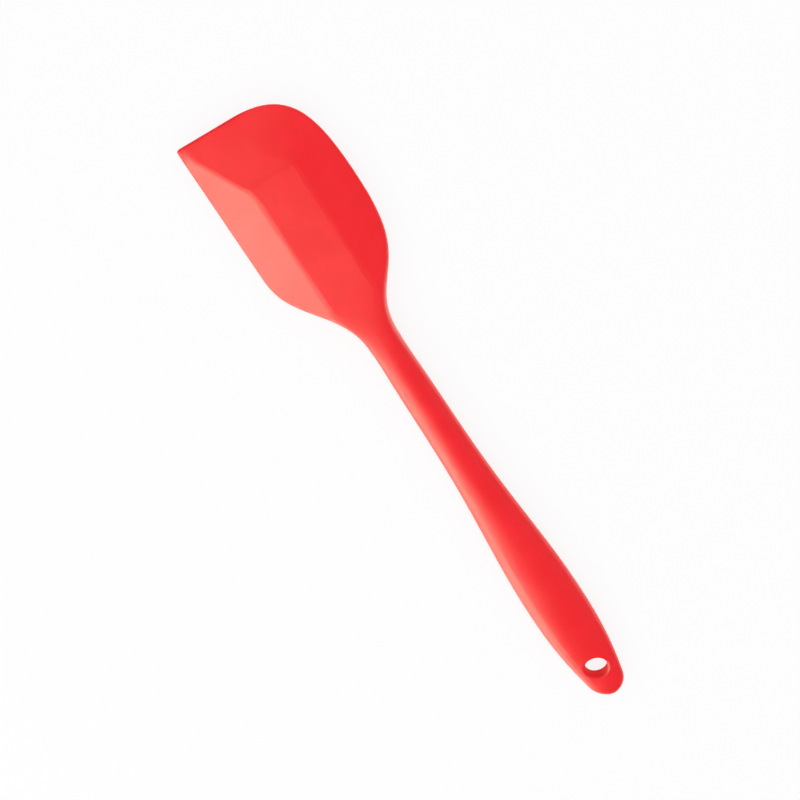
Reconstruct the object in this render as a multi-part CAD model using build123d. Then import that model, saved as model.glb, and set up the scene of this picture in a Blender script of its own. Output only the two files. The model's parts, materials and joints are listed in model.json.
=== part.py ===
from build123d import *
import math
import os

# Silicone spatula: one seamless silicone moulding over a stiff core that locating plugs hold centred.
# +X points to the blade's tip, +Y to its pointed corner and +Z out of the face that is shown.
# The origin is midway along the length, on the handle's axis, at the surface that the grip rests on.

# Overall sizes
OVERALL_LENGTH = 280.0
STRAIGHT_SIDE_REACH = 26.25
ROUND_SIDE_REACH = 25.5

# Blade, with lengths measured from the tip
LIP_THICKNESS = 1.8
PLATEAU_TIP_THICKNESS = 8.2
PLATEAU_LEFT_REACH = 10.0
PLATEAU_RIGHT_REACH = 9.3
TIP_BEVEL_LENGTH = 27.5
TIP_STRAIGHT_WIDTH = 24.3
ROUND_CORNER_LENGTH = 46.0
POINTED_CORNER_RADIUS = 1.3
STRAIGHT_SIDE_LENGTH = 56.0
BLADE_LENGTH = 102.0
CREASE_SOFTNESS = 1.0

# Handle
NECK_WIDTH = 13.0
NECK_THICKNESS = 9.6
GRIP_WIDTH = 24.1
GRIP_THICKNESS = 12.0
GRIP_FROM_END = 50.0
END_WIDTH = 14.6
END_THICKNESS = 6.2
END_ROUNDING_LENGTH = 7.0
NECK_ROUNDING_LENGTH = 35.0

# Hanging hole
HOLE_DIAMETER = 9.5
HOLE_FROM_END = 15.5
HOLE_RIM_RADIUS = 1.0

# Core, by the silicone that covers it at the sides and over its flat faces
TONGUE_SIDE_COVER = 1.8
TONGUE_END_COVER = 4.0
TONGUE_FACE_COVER = 2.3
NECK_SIDE_COVER = 2.7
NECK_FACE_COVER = 2.4
GRIP_SIDE_COVER = 4.2
GRIP_FACE_COVER = 3.0
EYE_FACE_COVER = 2.5
EYE_LINING = 1.4
EYE_WALL = 1.5
EYE_ROOT_WIDTH = 9.0
STEM_LENGTH = 40.0
TONGUE_LENGTH = 46.0
TONGUE_CORNER_RADIUS = 3.0

# Windows that the silicone grows through, between the core's rails and its ribs
WINDOW_RAIL = 2.6
WINDOW_RIB = 7.0
TONGUE_WINDOW_LENGTH = 8.0
TONGUE_WINDOWS = 3
GRIP_WINDOW_LENGTH = 13.0
GRIP_WINDOWS = 4
GRIP_WINDOWS_FROM_END = 34.0

# Locating plugs, one through each rib between two windows
PLUG_DIAMETER = 4.0
PLUG_TIP_DIAMETER = 1.6
PLUG_SHOULDER = 0.8
PLUG_SKIN = 0.4

# Outlines, as shares of the stretch that each runs along and of the change in reach across it
LEFT_SHOULDER_SHARES = [(0.226, 0.093), (0.422, 0.374), (0.62, 0.73), (0.817, 0.952)]
RIGHT_SHOULDER_SHARES = [(0.198, 0.036), (0.354, 0.138), (0.514, 0.378), (0.676, 0.735), (0.842, 0.955)]
HANDLE_SHARES = [(0.14, 0.07), (0.308, 0.135), (0.542, 0.338), (0.704, 0.622), (0.87, 0.905)]
END_SHARES = [(0.316, 0.071), (0.536, 0.276), (0.754, 0.633)]
END_HEIGHT_SHARES = [(0.316, 0.22), (0.536, 0.58), (0.682, 0.82), (0.82, 0.93)]

# The windows' corners, as a share of the narrowest window's width
WINDOW_CORNER_SHARE = 0.3186

# The round corner's pull along each of its sides, and the tip's lean back from its pointed corner
CORNER_SIDE_SHARE = 0.657
CORNER_TIP_SHARE = 0.93
TIP_LEAN_SHARE = 0.045

# A section's shape: how full its roundings are, and where its edges meet across a round handle
ROUND_PULL_SHARE = 0.55
SOFT_PULL_SHARE = 0.6
EDGE_ROUND_SHARE = 0.9
SIDE_ROUND_SHARE = 0.2
LEAST_BEVEL_SHARE = 0.15
MOST_SOFT_SHARE = 0.45
CORNER_CREASE_SHARE = 0.2
CORNER_SOFT_SHARE = 0.72
JUNCTION_SHARES = (1.0, 0.92, 0.78, 0.6)
ROUND_START_SHARE = 0.7
END_BLUNTNESS_SHARE = 0.6

# Number of steps between sections in one stretch, of stretches along each part of the spatula, and
# the angles in degrees where the rounded ends are cut
STEP_COUNT = 6
HANDLE_STRETCH_COUNT = 3
SHOULDER_STRETCH_COUNT = 3
CORNER_STRETCH_COUNT = 3
END_START_ANGLE = 12.0
NOSE_STOP_ANGLE = 70.0
ROUND_COUNT = 50

TIP = OVERALL_LENGTH / 2
END = -OVERALL_LENGTH / 2
NECK = TIP - BLADE_LENGTH
GRIP = END + GRIP_FROM_END
PLATEAU_END = TIP - TIP_BEVEL_LENGTH
CORNER_START = TIP - ROUND_CORNER_LENGTH
LIP = LIP_THICKNESS / 2
NOSE = TIP - LIP
MIDDLE_HEIGHT = GRIP_THICKNESS / 2
HOLE_X = END + HOLE_FROM_END
EYE_RADIUS = HOLE_DIAMETER / 2 + EYE_LINING + EYE_WALL
TONGUE_END = PLATEAU_END - TONGUE_END_COVER
TONGUE_ROOT = TONGUE_END - TONGUE_LENGTH
TONGUE_ROW = TONGUE_WINDOWS * (TONGUE_WINDOW_LENGTH + WINDOW_RIB) - WINDOW_RIB
TONGUE_ROW_START = (TONGUE_ROOT + TONGUE_END - TONGUE_ROW) / 2


def lerp(start, stop, share):
    return start + (stop - start) * share


def ease(share):
    share = min(max(share, 0.0), 1.0)
    return share * share * (3 - 2 * share)


def even_steps(count):
    return [step / count for step in range(count + 1)]


def even_curve(stations):
    """A curve of even curvature through (place, value) stations, level at both ends."""
    places, values = zip(*sorted(stations))
    last = len(places) - 1
    gaps = [places[i + 1] - places[i] for i in range(last)]
    rises = [(values[i + 1] - values[i]) / gaps[i] for i in range(last)]
    slopes = [0.0 for _ in places]
    for _ in range(ROUND_COUNT):
        for i in range(1, last):
            pull = 3 * (rises[i - 1] / gaps[i - 1] + rises[i] / gaps[i])
            ends = slopes[i - 1] / gaps[i - 1] + slopes[i + 1] / gaps[i]
            slopes[i] = (pull - ends) / (2 / gaps[i - 1] + 2 / gaps[i])

    def value(place):
        place = min(max(place, places[0]), places[-1])
        i = max(k for k in range(last) if places[k] <= place)
        share = (place - places[i]) / gaps[i]
        rest = 1 - share
        bend = rest * slopes[i] - share * slopes[i + 1]
        return lerp(values[i], values[i + 1], ease(share)) + gaps[i] * share * rest * bend

    return value


def stations(start, stop, first, last, shares):
    """Stations after (start, first) up to (stop, last), by shares of both changes."""
    inner = [(lerp(start, stop, along), lerp(first, last, across)) for along, across in shares]
    return inner + [(stop, last)]


HANDLE_REACH = stations(NECK, GRIP, NECK_WIDTH / 2, GRIP_WIDTH / 2, HANDLE_SHARES)
END_REACH = stations(GRIP, END, GRIP_WIDTH / 2, END_WIDTH / 2, END_SHARES)
HANDLE_HEIGHT = stations(NECK, GRIP, NECK_THICKNESS / 2, GRIP_THICKNESS / 2, HANDLE_SHARES)
END_HEIGHT = stations(GRIP, END, GRIP_THICKNESS / 2, END_THICKNESS / 2, END_HEIGHT_SHARES)


def side_curve(start, reach, shares):
    shoulder = stations(start, NECK, reach, NECK_WIDTH / 2, shares)
    return even_curve([(start, reach)] + shoulder + HANDLE_REACH + END_REACH)


left_side = side_curve(TIP - STRAIGHT_SIDE_LENGTH, STRAIGHT_SIDE_REACH, LEFT_SHOULDER_SHARES)
right_side = side_curve(CORNER_START, ROUND_SIDE_REACH, RIGHT_SHOULDER_SHARES)
handle_height = even_curve([(NECK, NECK_THICKNESS / 2)] + HANDLE_HEIGHT + END_HEIGHT)


def round_corner(share):
    """A point of the round corner, from the blade's right side to the straight part of the tip."""
    along = TIP - CORNER_START
    across = ROUND_SIDE_REACH + STRAIGHT_SIDE_REACH - TIP_STRAIGHT_WIDTH
    rest = 1 - share
    near = 3 * rest * rest * share
    far = 3 * rest * share * share
    x = CORNER_START + along * (near * CORNER_SIDE_SHARE + far + share**3)
    y = -ROUND_SIDE_REACH + across * (far * (1 - CORNER_TIP_SHARE) + share**3)
    return x, y


def corner_share(x):
    """The round corner's share at a place along the blade."""
    low, high = 0.0, 1.0
    for _ in range(ROUND_COUNT):
        middle = (low + high) / 2
        if round_corner(middle)[0] < x:
            low = middle
        else:
            high = middle
    return low


def end_fullness(x):
    """How full the handle is within the rounding of its end."""
    left = max(1 - (x - END) / END_ROUNDING_LENGTH, 0.0) * math.cos(math.radians(END_START_ANGLE))
    return math.sqrt(1 - left * left)


def nose_fullness(x):
    """How full the blade is within the rounding of its tip edge."""
    past = max(x - NOSE, 0.0) / LIP * math.sin(math.radians(NOSE_STOP_ANGLE))
    return math.sqrt(1 - past * past)


def left_reach(x):
    past = max(x - TIP + POINTED_CORNER_RADIUS, 0.0)
    inset = POINTED_CORNER_RADIUS - math.sqrt(POINTED_CORNER_RADIUS**2 - past**2)
    return left_side(x) * end_fullness(x) - inset


def right_reach(x):
    if x < CORNER_START:
        return right_side(x) * end_fullness(x)
    return -round_corner(corner_share(x))[1]


def plateau_height(x):
    share = (x - NECK) / (PLATEAU_END - NECK)
    return lerp(NECK_THICKNESS, PLATEAU_TIP_THICKNESS, min(share, 1.0)) / 2


def top_height(x):
    """Height of the section's highest line over the middle plane."""
    if x < NECK:
        return handle_height(x) * end_fullness(x) ** END_BLUNTNESS_SHARE
    if x < PLATEAU_END:
        return plateau_height(x)
    return lerp(LIP, PLATEAU_TIP_THICKNESS / 2, (TIP - x) / TIP_BEVEL_LENGTH)


def straight_side(x):
    """Reach, edge height, crease and crease rounding of the side with the pointed corner."""
    reach = left_reach(x)
    slope = (plateau_height(x) - LIP) / (STRAIGHT_SIDE_REACH - PLATEAU_LEFT_REACH)
    edge = min(LIP + (STRAIGHT_SIDE_REACH - reach) * slope, top_height(x))
    crease = STRAIGHT_SIDE_REACH - (top_height(x) - LIP) / slope
    return reach, edge, crease, 0.0


def round_side(x):
    """Reach, edge height, crease and crease rounding of the side with the round corner."""
    reach = right_reach(x)
    if x < CORNER_START:
        slope = (plateau_height(x) - LIP) / (ROUND_SIDE_REACH - PLATEAU_RIGHT_REACH)
        edge = min(LIP + (ROUND_SIDE_REACH - reach) * slope, top_height(x))
        return reach, edge, PLATEAU_RIGHT_REACH, 0.0
    if x < PLATEAU_END:
        return reach, LIP, PLATEAU_RIGHT_REACH, 0.0
    past = (x - PLATEAU_END) / TIP_BEVEL_LENGTH
    first = right_reach(PLATEAU_END)
    inset = (first - PLATEAU_RIGHT_REACH) / (first + left_reach(PLATEAU_END))
    inset = lerp(inset, CORNER_CREASE_SHARE, past)
    return reach, LIP, reach - inset * (reach + left_reach(x)), ease(2 * past)


def side_junctions(x, side, half, toward):
    """Junctions of one side of the upper half section, from the outline inwards.

    Each is a point (across, height) with the pull of the rounding that ends there.
    """
    reach, edge, crease, spread = side
    top = top_height(x)
    rounding = min(EDGE_ROUND_SHARE * edge, SIDE_ROUND_SHARE * half)
    crease = min(crease, reach - rounding - LEAST_BEVEL_SHARE * half)
    bevel = Vector(reach, edge) - Vector(crease, top)
    edge_end = Vector(crease, top) + bevel * (1 - rounding / (reach - crease))
    length = (edge_end - Vector(crease, top)).length
    flat = (crease - toward) / 2
    outer = lerp(min(CREASE_SOFTNESS, MOST_SOFT_SHARE * length), CORNER_SOFT_SHARE * length, spread)
    inner = lerp(min(CREASE_SOFTNESS, MOST_SOFT_SHARE * flat), CORNER_SOFT_SHARE * flat, spread)
    down = bevel.normalized()
    return [
        (Vector(reach, 0), Vector(0, ROUND_PULL_SHARE * edge_end.Y)),
        (edge_end, down * (-ROUND_PULL_SHARE * rounding)),
        (Vector(crease, top) + down * outer, down * (-SOFT_PULL_SHARE * outer)),
        (Vector(crease - inner, top), Vector(-SOFT_PULL_SHARE * inner, 0)),
    ]


def arc_pull(turn):
    """How far the inner points of a curve stand off along a unit arc of this turn."""
    return 4 / 3 * math.tan(turn / 4)


def half_section(x):
    """Junctions of the upper half section from right to left: angle, point and rate."""
    left, right = straight_side(x), round_side(x)
    half = (left[0] + right[0]) / 2
    centre = (left[0] - right[0]) / 2
    start = BLADE_LENGTH * ROUND_START_SHARE
    roundness = ease((TIP - x - start) / (BLADE_LENGTH + NECK_ROUNDING_LENGTH - start))
    top = top_height(x)
    left_crease = side_junctions(x, left, half, -half)[3][0].X
    rows = []
    for side, sign in ((right, -1), (left, 1)):
        toward = -left_crease if sign < 0 else -half
        row = []
        for (point, pull), round_share in zip(side_junctions(x, side, half, toward), JUNCTION_SHARES):
            share = lerp((point.X - sign * centre) / half, round_share, roundness)
            turn = math.acos(min(share, 1.0))
            row.append((turn, Vector(sign * point.X, point.Y), Vector(sign * pull.X, pull.Y)))
        rows.append(row)
    junctions = []
    for row, sign in zip(rows, (-1, 1)):
        for i, (turn, point, pull) in enumerate(row):
            pair = row[i - i % 2 + 1][0] - row[i - i % 2][0]
            rate = pull * (-sign / arc_pull(pair))
            angle = turn if sign < 0 else math.pi - turn
            spot = Vector(centre - half * math.cos(angle), top * math.sin(angle))
            speed = Vector(half * math.sin(angle), top * math.cos(angle))
            junctions.append((angle, lerp(point, spot, roundness), lerp(rate, speed, roundness)))
    return junctions[:4] + junctions[:3:-1]


def lean(x):
    """How far a section leans back along the spatula for each step across it."""
    return TIP_LEAN_SHARE * ease((x - CORNER_START) / (PLATEAU_END - CORNER_START))


def section(x):
    """The closed section at a place along the spatula, about the middle plane."""
    flatness = nose_fullness(x)
    junctions = half_section(x)
    curves = []
    for (start, first, leave), (stop, last, arrive) in zip(junctions, junctions[1:]):
        reach = arc_pull(stop - start)
        curves.append([first, first + leave * reach, last - arrive * reach, last])

    def place(point, sign):
        along = x + lean(x) * (point.X - STRAIGHT_SIDE_REACH)
        return Vector(along, point.X, MIDDLE_HEIGHT + sign * flatness * point.Y)

    upper = [Bezier(*[place(point, 1) for point in curve]) for curve in curves]
    lower = [Bezier(*[place(point, -1) for point in curve[::-1]]) for curve in curves[::-1]]
    return Wire(upper + lower)


def stretches():
    """Places of the sections in each stretch, closer together where the outline turns."""
    start = math.radians(END_START_ANGLE)
    turns = [lerp(start, math.pi / 2, step) for step in even_steps(STEP_COUNT)]
    end = [END + END_ROUNDING_LENGTH * (1 - math.cos(turn) / math.cos(start)) for turn in turns]
    handle = [lerp(end[-1], NECK, step) for step in even_steps(STEP_COUNT * HANDLE_STRETCH_COUNT)[1:]]
    shoulder = [lerp(NECK, CORNER_START, step) for step in even_steps(STEP_COUNT * SHOULDER_STRETCH_COUNT)[1:]]
    last = corner_share(NOSE)
    corner = [round_corner(last * step)[0] for step in even_steps(STEP_COUNT * CORNER_STRETCH_COUNT)[1:]]
    stop = math.radians(NOSE_STOP_ANGLE)
    nose = [NOSE + LIP * math.sin(stop * step) / math.sin(stop) for step in even_steps(STEP_COUNT)[1:]]
    places = end + handle + shoulder + corner + nose
    return [places[first : first + STEP_COUNT + 1] for first in range(0, len(places) - 1, STEP_COUNT)]


def outer_shape():
    """The whole outside as a chain of lofts, with the hanging hole and its rounded rims."""
    lofts = [Solid.make_loft([section(x) for x in places]) for places in stretches()]
    whole = lofts[0].fuse(*lofts[1:])
    bore = Pos(HOLE_X, 0, MIDDLE_HEIGHT) * Cylinder(HOLE_DIAMETER / 2, GRIP_THICKNESS)
    pierced = whole - bore
    around = HOLE_DIAMETER / 2 + HOLE_RIM_RADIUS
    rims = [
        edge
        for edge in pierced.edges()
        if (edge.center() - Vector(HOLE_X, 0, edge.center().Z)).length < around
        and edge.bounding_box().size.Z < END_THICKNESS / 2
        and edge.bounding_box().size.X > HOLE_RIM_RADIUS
    ]
    return fillet(rims, HOLE_RIM_RADIUS)


def middle_plane(x):
    return Pos(x, 0, MIDDLE_HEIGHT)


def level_curve(stations):
    """A curve through (place, value) stations that is level at each of them."""

    def value(place):
        pairs = [(a, b) for a, b in zip(stations, stations[1:]) if place <= b[0]] or [stations[-2:]]
        (start, first), (stop, last) = pairs[0]
        return lerp(first, last, ease((place - start) / (stop - start)))

    return value


def symmetric_face(stations):
    """A face between the level curve through the stations and its mirror image."""
    curves = []
    for (start, first), (stop, last) in zip(stations, stations[1:]):
        third = (stop - start) / 3
        for sign in (1, -1):
            points = (start, first), (start + third, first), (stop - third, last), (stop, last)
            curves.append(Bezier(*[(along, sign * across) for along, across in points]))
    ends = [Line((along, across), (along, -across)) for along, across in (stations[0], stations[-1])]
    return make_face(curves + ends)


def core_widths():
    """Half widths of the core along it."""
    stem = NECK_WIDTH / 2 - NECK_SIDE_COVER
    tongue = PLATEAU_RIGHT_REACH - TONGUE_SIDE_COVER
    return [
        (HOLE_X, EYE_ROOT_WIDTH / 2),
        (GRIP, GRIP_WIDTH / 2 - GRIP_SIDE_COVER),
        (NECK - STEM_LENGTH, stem),
        (NECK, stem),
        (TONGUE_ROOT, tongue),
        (TONGUE_END, tongue),
    ]


def core_heights():
    """Half thicknesses of the core along it."""
    eye = handle_height(HOLE_X) - EYE_FACE_COVER
    return [
        (HOLE_X - EYE_RADIUS, eye),
        (HOLE_X + EYE_RADIUS, eye),
        (GRIP, GRIP_THICKNESS / 2 - GRIP_FACE_COVER),
        (NECK, NECK_THICKNESS / 2 - NECK_FACE_COVER),
        (TONGUE_ROOT, plateau_height(TONGUE_ROOT) - TONGUE_FACE_COVER),
        (TONGUE_END, plateau_height(TONGUE_END) - TONGUE_FACE_COVER),
    ]


def ladder(start, length, count):
    """Middles of a row of windows, and of the ribs between them."""
    pitch = length + WINDOW_RIB
    windows = [start + length / 2 + pitch * step for step in range(count)]
    ribs = [middle + pitch / 2 for middle in windows[:-1]]
    return windows, ribs


grip_windows, grip_ribs = ladder(END + GRIP_WINDOWS_FROM_END, GRIP_WINDOW_LENGTH, GRIP_WINDOWS)
tongue_windows, tongue_ribs = ladder(TONGUE_ROW_START, TONGUE_WINDOW_LENGTH, TONGUE_WINDOWS)


def window_width(x, length):
    """Width that leaves a rail on each side of the core where the core is narrower."""
    width = level_curve(core_widths())
    return 2 * (min(width(x - length / 2), width(x + length / 2)) - WINDOW_RAIL)


def window(x, length):
    narrowest = window_width(grip_windows[-1], GRIP_WINDOW_LENGTH)
    frame = RectangleRounded(length, window_width(x, length), WINDOW_CORNER_SHARE * narrowest)
    return middle_plane(x) * extrude(frame, GRIP_THICKNESS / 2, both=True)


def core_block():
    """The core without its windows and plug holes."""
    plan = symmetric_face(core_widths())
    corners = plan.vertices().sort_by(Axis.X)[-2:]
    plan = fillet(corners, TONGUE_CORNER_RADIUS)
    plan = plan + Pos(HOLE_X, 0) * Circle(EYE_RADIUS)
    plan = plan - Pos(HOLE_X, 0) * Circle(HOLE_DIAMETER / 2 + EYE_LINING)
    side = Plane.XZ * symmetric_face(core_heights())
    block = extrude(plan, GRIP_THICKNESS, both=True) & extrude(side, GRIP_WIDTH, both=True)
    return middle_plane(0) * block


def plug_bore(x):
    return middle_plane(x) * Cylinder(PLUG_DIAMETER / 2, GRIP_THICKNESS)


def stiffener_core():
    core = core_block()
    for x in grip_windows:
        core = core - window(x, GRIP_WINDOW_LENGTH)
    for x in tongue_windows:
        core = core - window(x, TONGUE_WINDOW_LENGTH)
    for x in grip_ribs + tongue_ribs:
        core = core - plug_bore(x)
    return core


def locating_plug(x):
    """A turned plug whose tapered ends stop just under the surface on both faces."""
    height = top_height(x) - PLUG_SKIN
    shoulder = level_curve(core_heights())(x) + PLUG_SHOULDER
    radius, tip = PLUG_DIAMETER / 2, PLUG_TIP_DIAMETER / 2
    upper = [(radius, shoulder), (tip, height), (0, height)]
    lower = [(across, -up) for across, up in upper[::-1]]
    outline = Polyline(*upper, *lower, close=True)
    return middle_plane(x) * revolve(Plane.XZ * make_face(outline), Axis.Z)


os.makedirs("parts", exist_ok=True)
core = stiffener_core()
plugs = [locating_plug(x) for x in grip_ribs + tongue_ribs]
body = outer_shape() - core - plugs
export_step(body, "parts/silicone_body.step")
export_step(core, "parts/stiffener_core.step")
for number, plug in enumerate(plugs, 1):
    export_step(plug, f"parts/locating_plug_{number}.step")
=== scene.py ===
import json

import bpy
from mathutils import Matrix, Vector

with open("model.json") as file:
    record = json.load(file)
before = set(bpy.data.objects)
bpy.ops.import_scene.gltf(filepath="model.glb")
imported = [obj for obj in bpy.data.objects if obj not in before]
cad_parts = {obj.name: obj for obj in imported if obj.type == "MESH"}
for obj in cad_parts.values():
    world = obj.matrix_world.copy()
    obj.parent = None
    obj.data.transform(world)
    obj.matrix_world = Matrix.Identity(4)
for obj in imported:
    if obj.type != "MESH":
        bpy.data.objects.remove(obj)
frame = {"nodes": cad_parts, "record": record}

# Places and sizes of the object, in metres
HOLE = frame["record"]["mounts"][0]
HOLE_PLACE = tuple(HOLE["pos_m"])
HOLE_RADIUS = HOLE["dims"]["r_mm"] / 1000
HOLE_SKIN_FADE = (1.01 * HOLE_RADIUS, 1.12 * HOLE_RADIUS)
MIDDLE_HEIGHT = HOLE_PLACE[2]
WORN_EDGE_HALF_WIDTH = 0.0009
PARTING_LINE_HALF_WIDTH = 0.0002

# Parts of a noise's range that hold most of its values
MIDDLE = (0.35, 0.65)
WIDE_MIDDLE = (0.3, 0.7)

# Silicone: refraction, sheen, and the palest and deepest of its pigment's colours
SILICONE_IOR = 1.45
SHEEN = 0.1
SHEEN_ROUGHNESS = 0.4
RED_PALE = (0.92, 0.004, 0.014)
RED_DEEP = (0.86, 0.002, 0.008)
PLUG_PALE = (0.9, 0.006, 0.016)
PLUG_DEEP = (0.8, 0.002, 0.008)

# Silicone: sizes of the spots in its colour, gloss and surface
CLOUD_SIZE = 0.009
SPECK_SIZE = 0.0014
SMUDGE_SIZE = 0.022
GRAIN_SIZE = 0.0004
WAVE_SIZE = 0.007
CLOUD_SHARE = 0.7
SPECK_SHARE = 0.3
WORN_EDGE_BRIGHTENING = 1.06

# Silicone: roughness of the moulded skin and of its places, and heights of its relief
GRAIN_ROUGHNESS = (0.35, 0.43)
SMUDGE_ROUGHNESS = 0.03
PARTING_LINE_SMOOTHNESS = 0.06
HOLE_ROUGHNESS = 0.88
WAVE_HEIGHT = 0.00004
PARTING_LINE_HEIGHT = 0.00004
GRAIN_HEIGHT = 0.000014

# Nylon: refraction, colours, and the fibres drawn out along the object
NYLON_IOR = 1.53
NYLON_DEEP = (0.07, 0.07, 0.075)
NYLON_PALE = (0.1, 0.1, 0.105)
FIBRE_COLOUR = (0.3, 0.3, 0.29)
FIBRE_SQUEEZE = (0.15, 1, 1)
FIBRE_SIZE = 0.0004
FIBRE_PEAKS = (0.56, 0.7)
FIBRE_SHARE = 0.6
FIBRE_HEIGHT = 0.00003
SWIRL_SIZE = 0.003
NYLON_ROUGHNESS = (0.45, 0.7)

# Camera: its place and axes, its lens and the width of its picture plane in millimetres
CAMERA_PLACE = (0.138, -0.1046, 0.4399)
CAMERA_RIGHT = Vector((-0.53273782, -0.84347652, -0.0688315))
CAMERA_UP = Vector((0.80474682, -0.47974665, -0.34960795))
CAMERA_BACK = Vector((0.26186441, -0.24164131, 0.93436423))
CAMERA_LENS = 54
CAMERA_SENSOR = 36
CAMERA_NEAREST = 0.01

# Table and room: colours, and how bright they are for rays that see them straight or mirrored
WHITE = (1, 1, 1)
TABLE_COLOUR = (0.87, 0.87, 0.87)
TABLE_ROUGHNESS = 0.9
TABLE_HALF_WIDTH = 3.0
TABLE_SEEN = 0.86
TABLE_MIRRORED = 0.3
ROOM_LIGHT = 0.06
ROOM_SEEN = 0.92
ROOM_MIRRORED = 0.02

# Lamps: power that a square metre of panel takes at brightness 1, and the warm panels' colour
PANEL_POWER = 4
WARM = (1, 0.98, 0.72)

# Sockets of the node that mixes two colours: its share, the two colours and the result
MIX_SHARE = 0
MIX_FIRST = 6
MIX_SECOND = 7
MIX_RESULT = 2

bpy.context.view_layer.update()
scene = bpy.context.scene
scene.view_settings.view_transform = "Standard"


def opaque(colour):
    return (*colour, 1)


def new_object(name, data):
    obj = bpy.data.objects.new(name, data)
    scene.collection.objects.link(obj)
    return obj


class Nodes:
    """Short ways to add and join the nodes of one tree."""

    def __init__(self, tree):
        self.tree = tree

    def feed(self, socket, value):
        """Gives a socket a plain value, or joins another node's output to it."""
        if isinstance(value, bpy.types.NodeSocket):
            self.tree.links.new(value, socket)
        else:
            socket.default_value = value

    def output(self, kind, result, inputs, **settings):
        """Adds a node, feeds its inputs and returns the output named or numbered by result."""
        node = self.tree.nodes.new("ShaderNode" + kind)
        for key, value in settings.items():
            setattr(node, key, value)
        for key, value in inputs.items():
            self.feed(node.inputs[key], value)
        return node.outputs[result]

    def noise(self, place, size, detail=2.0, roughness=0.5):
        """Noise whose spots are about `size` metres across."""
        inputs = {"Vector": place, "Scale": 1 / size, "Detail": detail, "Roughness": roughness}
        return self.output("TexNoise", 0, inputs)

    def spread(self, source, low, high, source_range=(0, 1)):
        """The source's range turned into the range low to high."""
        inputs = {"Value": source, "From Min": source_range[0], "From Max": source_range[1]}
        return self.output("MapRange", "Result", {**inputs, "To Min": low, "To Max": high})

    def calculate(self, operation, first, second):
        return self.output("Math", 0, {0: first, 1: second}, operation=operation)

    def vector(self, operation, first, second):
        return self.output("VectorMath", 0, {0: first, 1: second}, operation=operation)

    def tinted(self, share, first, second):
        """The first colour, which turns into the second as the share rises."""
        inputs = {MIX_SHARE: share, MIX_FIRST: first, MIX_SECOND: second}
        return self.output("Mix", MIX_RESULT, inputs, data_type="RGBA")

    def bumped(self, height, distance, under=None):
        """The surface's direction, with relief over any relief that is under it."""
        inputs = {"Strength": 1.0, "Distance": distance, "Height": height}
        if under is not None:
            inputs["Normal"] = under
        return self.output("Bump", 0, inputs)

    def distance_from(self, place, point, axes):
        """Distance from a point, along the axes whose value is 1."""
        shift = self.vector("SUBTRACT", place, point)
        flat = self.vector("MULTIPLY", shift, axes)
        return self.output("VectorMath", "Value", {0: flat}, operation="LENGTH")

    def background_share(self, seen, mirrored):
        """The background's own brightness for the camera's rays, and for mirrored and refracted ones."""
        rays = self.tree.nodes.new("ShaderNodeLightPath").outputs
        direct = self.calculate("MULTIPLY", rays["Is Camera Ray"], seen)
        turned = self.calculate("ADD", rays["Is Glossy Ray"], rays["Is Transmission Ray"])
        return self.calculate("ADD", direct, self.calculate("MULTIPLY", turned, mirrored))


def node_material(name):
    """A plain material, its shader and its nodes."""
    material = bpy.data.materials.new(name)
    material.use_nodes = True
    return material, material.node_tree.nodes["Principled BSDF"], Nodes(material.node_tree)


def silicone(name, pale, deep):
    """Matt silicone: cloudy pigment, fine moulded grain, a parting line and a rougher hole."""
    material, shader, nodes = node_material(name)
    place = nodes.output("TexCoord", "Object", {})
    cloud = nodes.noise(place, CLOUD_SIZE, detail=3.0)
    speck = nodes.noise(place, SPECK_SIZE)
    grain = nodes.noise(place, GRAIN_SIZE)
    smudge = nodes.noise(place, SMUDGE_SIZE, roughness=0.6)
    wave = nodes.noise(place, WAVE_SIZE, detail=1.0)

    # Shares that are 1 on the parting line, on the outer edge and in the hole, and 0 away from them
    across = nodes.distance_from(place, (0, 0, MIDDLE_HEIGHT), (0, 0, 1))
    parting = nodes.spread(across, 1, 0, (PARTING_LINE_HALF_WIDTH / 2, PARTING_LINE_HALF_WIDTH))
    edge = nodes.spread(across, 1, 0, (WORN_EDGE_HALF_WIDTH / 2, WORN_EDGE_HALF_WIDTH))
    radius = nodes.distance_from(place, HOLE_PLACE, (1, 1, 0))
    hole = nodes.spread(radius, 1, 0, HOLE_SKIN_FADE)

    clouds = nodes.spread(cloud, 0, CLOUD_SHARE, MIDDLE)
    specks = nodes.spread(speck, 0, SPECK_SHARE, MIDDLE)
    pigment = nodes.tinted(nodes.calculate("ADD", clouds, specks), opaque(deep), opaque(pale))
    worn_colour = opaque(WORN_EDGE_BRIGHTENING * part for part in pale)
    worn = nodes.tinted(nodes.calculate("MULTIPLY", edge, cloud), pigment, worn_colour)

    smudges = nodes.spread(smudge, -SMUDGE_ROUGHNESS, SMUDGE_ROUGHNESS, MIDDLE)
    skin = nodes.calculate("ADD", smudges, nodes.spread(grain, *GRAIN_ROUGHNESS, WIDE_MIDDLE))
    skin = nodes.calculate("SUBTRACT", skin, nodes.spread(parting, 0, PARTING_LINE_SMOOTHNESS))
    roughness = nodes.calculate("MAXIMUM", skin, nodes.spread(hole, 0, HOLE_ROUGHNESS))

    relief = nodes.bumped(wave, WAVE_HEIGHT)
    relief = nodes.bumped(parting, PARTING_LINE_HEIGHT, relief)
    relief = nodes.bumped(grain, GRAIN_HEIGHT, relief)

    nodes.feed(shader.inputs["IOR"], SILICONE_IOR)
    nodes.feed(shader.inputs["Sheen Weight"], SHEEN)
    nodes.feed(shader.inputs["Sheen Roughness"], SHEEN_ROUGHNESS)
    nodes.feed(shader.inputs["Base Color"], worn)
    nodes.feed(shader.inputs["Roughness"], roughness)
    nodes.feed(shader.inputs["Normal"], relief)
    return material


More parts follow.
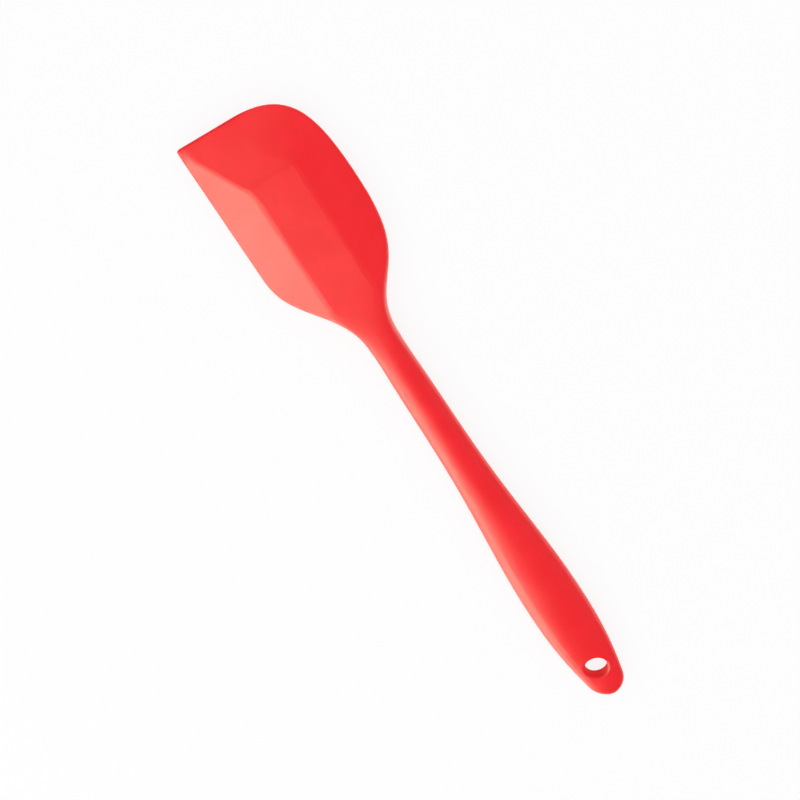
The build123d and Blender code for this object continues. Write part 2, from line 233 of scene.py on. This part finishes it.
def nylon():
    """Grey glass-filled nylon: pale fibres drawn out along the flow, and a dull rough skin."""
    material, shader, nodes = node_material("core_nylon")
    place = nodes.output("TexCoord", "Object", {})
    drawn = nodes.vector("MULTIPLY", place, FIBRE_SQUEEZE)
    fibre = nodes.noise(drawn, FIBRE_SIZE, detail=3.0, roughness=0.7)
    swirl = nodes.noise(drawn, SWIRL_SIZE, detail=3.0)

    swirls = nodes.spread(swirl, 0, 1, WIDE_MIDDLE)
    grey = nodes.tinted(swirls, opaque(NYLON_DEEP), opaque(NYLON_PALE))
    fibres = nodes.spread(fibre, 0, FIBRE_SHARE, FIBRE_PEAKS)
    flecked = nodes.tinted(fibres, grey, opaque(FIBRE_COLOUR))

    nodes.feed(shader.inputs["IOR"], NYLON_IOR)
    nodes.feed(shader.inputs["Base Color"], flecked)
    nodes.feed(shader.inputs["Roughness"], nodes.spread(fibre, *NYLON_ROUGHNESS, WIDE_MIDDLE))
    nodes.feed(shader.inputs["Normal"], nodes.bumped(fibre, FIBRE_HEIGHT))
    return material


def camera():
    data = bpy.data.cameras.new("camera")
    data.sensor_width = CAMERA_SENSOR
    data.lens = CAMERA_LENS
    data.clip_start = CAMERA_NEAREST
    obj = new_object("camera", data)
    turn = Matrix((CAMERA_RIGHT, CAMERA_UP, CAMERA_BACK)).transposed().to_4x4()
    obj.matrix_world = Matrix.Translation(CAMERA_PLACE) @ turn
    scene.camera = obj


def panel(name, place, aim, size, radiance, colour=WHITE, glossy=True, diffuse=True):
    """A soft panel lamp. Its power gives it the stated brightness whatever its size."""
    data = bpy.data.lights.new(name, "AREA")
    data.shape = "RECTANGLE"
    data.size, data.size_y = size
    data.energy = PANEL_POWER * radiance * size[0] * size[1]
    data.color = colour
    obj = new_object(name, data)
    obj.location = place
    obj.rotation_euler = (Vector(aim) - Vector(place)).to_track_quat("-Z", "Y").to_euler()
    obj.visible_camera = False
    obj.visible_glossy = glossy
    obj.visible_diffuse = diffuse


def table():
    """A white table that the camera sees bright, with the object's shadow kept."""
    material, shader, nodes = node_material("white_table")
    nodes.feed(shader.inputs["Base Color"], opaque(TABLE_COLOUR))
    nodes.feed(shader.inputs["Roughness"], TABLE_ROUGHNESS)
    share = nodes.background_share(TABLE_SEEN, TABLE_MIRRORED)
    glow = nodes.output("Emission", 0, {"Color": opaque(WHITE)})
    mixed = nodes.output("MixShader", 0, {0: share, 1: shader.outputs[0], 2: glow})
    nodes.feed(material.node_tree.nodes["Material Output"].inputs["Surface"], mixed)
    low, high = -TABLE_HALF_WIDTH, TABLE_HALF_WIDTH
    mesh = bpy.data.meshes.new("floor")
    corners = [(low, low, 0), (high, low, 0), (high, high, 0), (low, high, 0)]
    mesh.from_pydata(corners, [], [(0, 1, 2, 3)])
    mesh.materials.append(material)
    new_object("floor", mesh)


def room():
    """Even white room light. The camera sees the room's far end as white as the table."""
    world = bpy.data.worlds.new("white_room")
    world.use_nodes = True
    nodes = Nodes(world.node_tree)
    background = world.node_tree.nodes["Background"]
    share = nodes.background_share(ROOM_SEEN, ROOM_MIRRORED)
    nodes.feed(background.inputs["Color"], opaque(WHITE))
    nodes.feed(background.inputs["Strength"], nodes.calculate("ADD", share, ROOM_LIGHT))
    scene.world = world


def lamps():
    """Panels high and low at the left, a dim one at the right, and the ceiling's soft light."""
    panel("high_panel", place=(0.1, 0.7, 0.825), aim=(0.1, 0, 0.825), size=(0.7, 0.55),
          radiance=12.1, colour=WARM, diffuse=False)
    panel("low_panel", place=(-0.315, 0.7, 0.29), aim=(-0.315, 0, 0.29), size=(0.87, 0.58),
          radiance=7.2, colour=WARM, diffuse=False)
    panel("left_card", place=(-0.05, 0.4, 0.003), aim=(-0.05, 0.4, 1), size=(0.66, 1.2),
          radiance=0.8, colour=WARM, diffuse=False)
    panel("right_wall", place=(0, -0.7, 0.3), aim=(0, 0, 0.3), size=(1.6, 0.6),
          radiance=0.4, diffuse=False)
    panel("ceiling", place=(0, 0, 1.5), aim=(0, 0, 0), size=(6, 6), radiance=0.9, glossy=False)


red_silicone = silicone("red_silicone", RED_PALE, RED_DEEP)
plug_silicone = silicone("plug_silicone", PLUG_PALE, PLUG_DEEP)
finishes = {"silicone_body": red_silicone, "stiffener_core": nylon()}
for name, node in frame["nodes"].items():
    node.data.materials.clear()
    node.data.materials.append(finishes.get(name, plug_silicone))
camera()
room()
table()
lamps()
